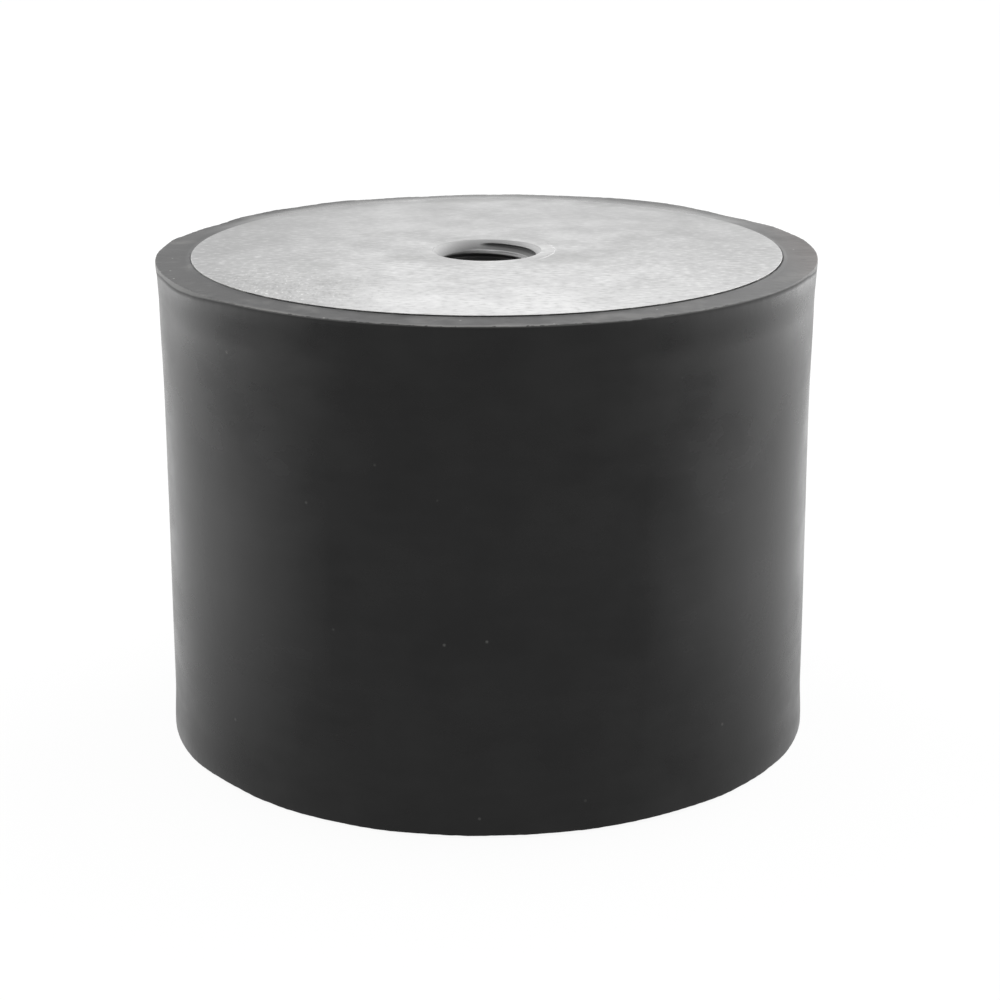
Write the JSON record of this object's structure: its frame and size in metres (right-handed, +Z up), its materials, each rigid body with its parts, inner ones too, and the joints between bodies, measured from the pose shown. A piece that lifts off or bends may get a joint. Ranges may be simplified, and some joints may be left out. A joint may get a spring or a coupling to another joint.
{
  "type": "bobbin vibration mount",
  "caption": "Cylindrical rubber vibration mount bonded between steel end plates, with a threaded socket in each end for bolting a machine to its base.",
  "frame": {"origin": "centre of the lower bearing face, where the lower end plate rests", "axes": "+Z up along the axis of the mount and of both threads, from the lower bearing face to the upper one; the part is round, so X and Y are free"},
  "size_m": [0.1008, 0.1008, 0.075],
  "materials": {
    "rubber_body": "moulded black rubber, satin",
    "top_plate": "zinc-plated steel, matt and slightly mottled",
    "top_threaded_bush": "zinc-plated steel, turned",
    "bottom_plate": "zinc-plated steel, matt and slightly mottled",
    "bottom_threaded_bush": "zinc-plated steel, turned"
  },
  "bodies": {
    "root": {"rubber_body": "rubber_body", "top_plate": "top_plate", "top_threaded_bush": "top_threaded_bush", "bottom_plate": "bottom_plate", "bottom_threaded_bush": "bottom_threaded_bush"}
  },
  "joints": []
}
